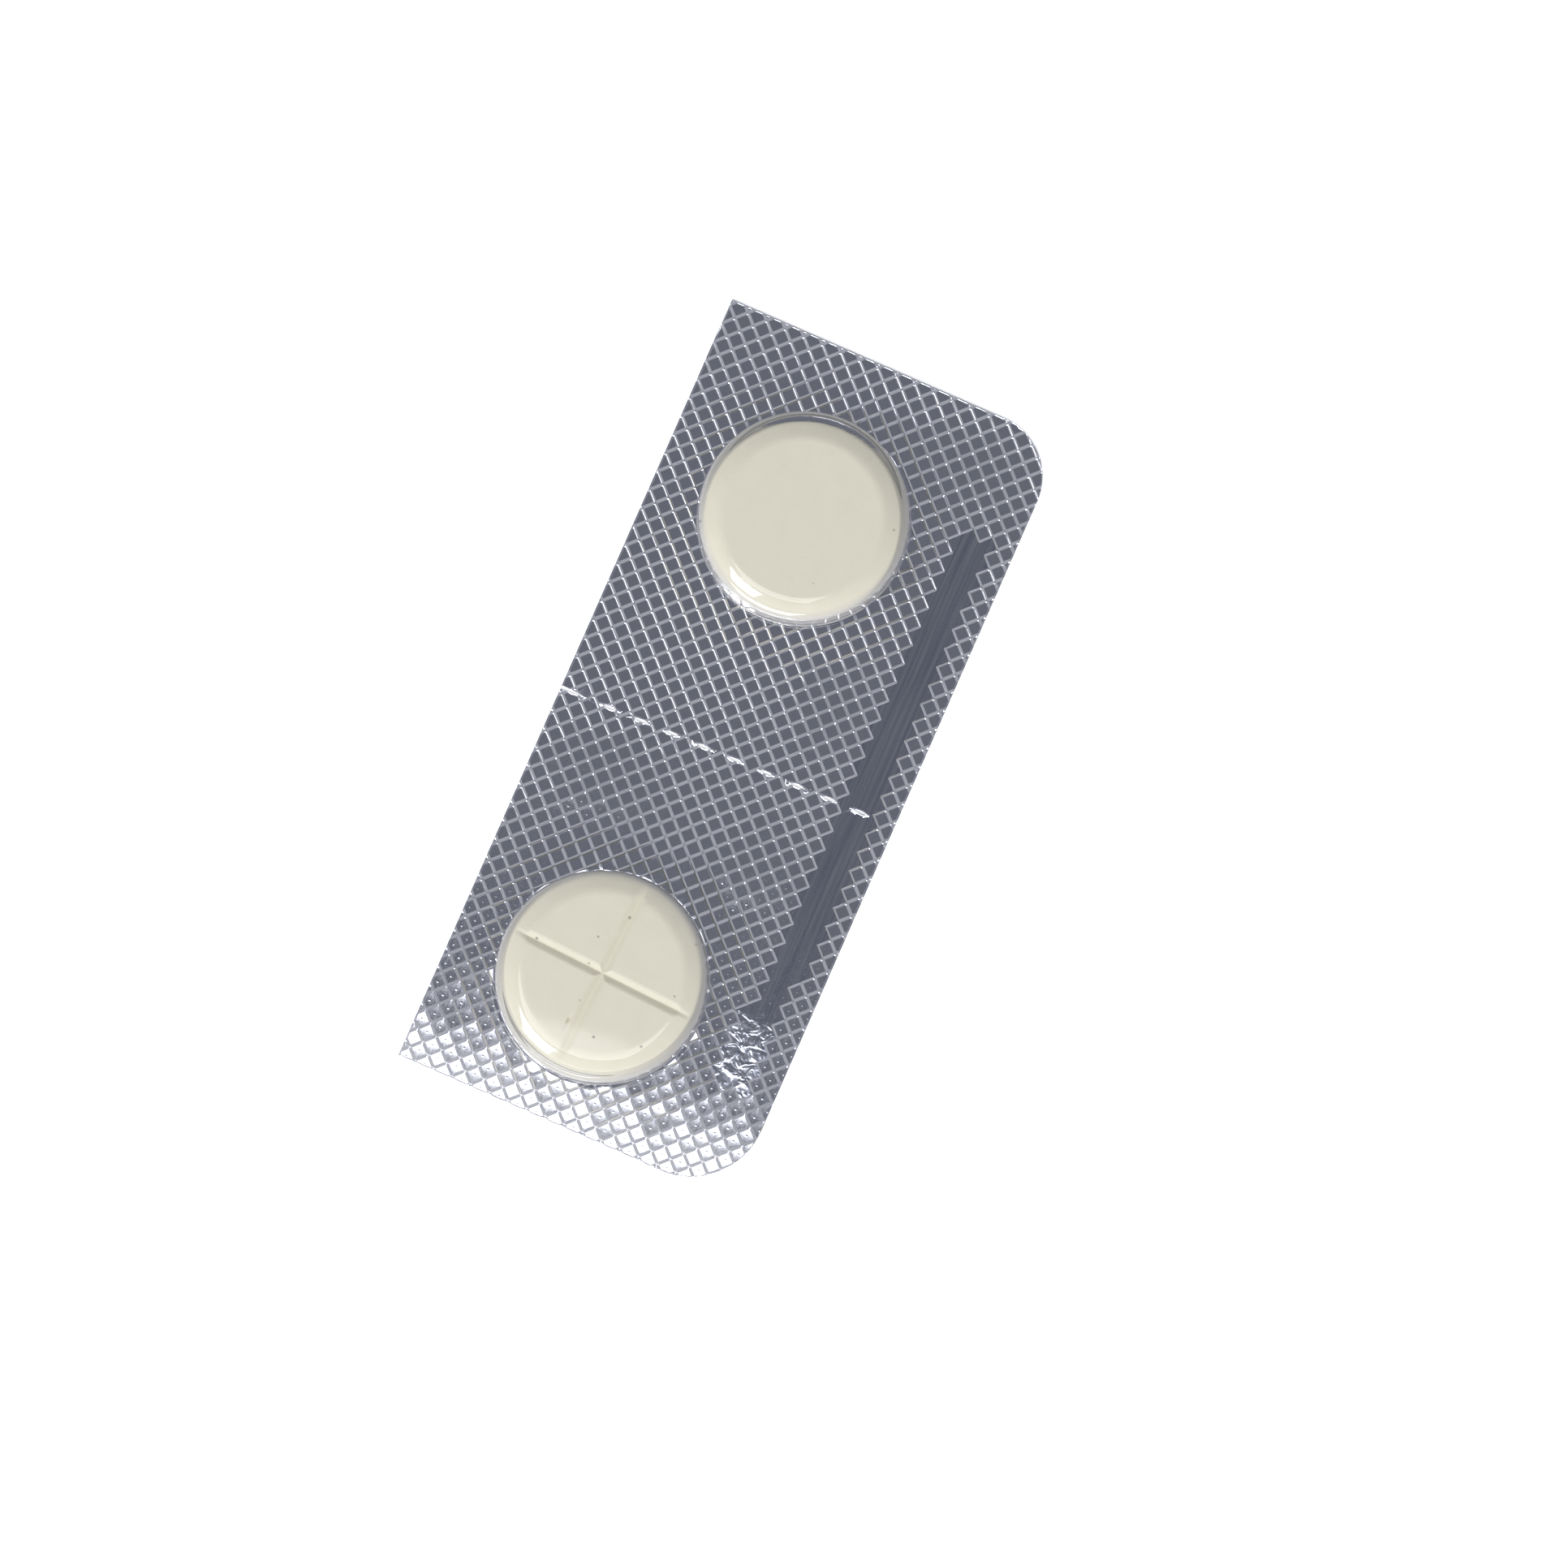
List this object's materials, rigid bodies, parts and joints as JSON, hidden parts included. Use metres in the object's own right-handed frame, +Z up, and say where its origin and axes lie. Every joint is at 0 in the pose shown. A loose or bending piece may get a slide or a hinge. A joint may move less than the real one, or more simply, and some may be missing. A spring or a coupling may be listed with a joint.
{
  "type": "tablet blister strip",
  "caption": "Blister strip: clear formed web with round pockets, diamond-knurled foil lidding, perforated tear line, and flat round tablets sealed inside.",
  "frame": {"origin": "middle of the strip, on the surface that it lies on", "axes": "+Z up through the pockets, +Y along the strip towards the upper pocket, +X towards the side with the rounded corners and the smooth band"},
  "size_m": [0.028, 0.064, 0.0041],
  "materials": {
    "clear_web": "clear gloss film",
    "foil": "bright embossed foil",
    "tablet": "matt pressed powder"
  },
  "bodies": {
    "root": {"clear_blister_web": "clear_web", "lidding_foil": "foil", "upper_tablet": "tablet", "lower_tablet": "tablet"}
  },
  "joints": []
}
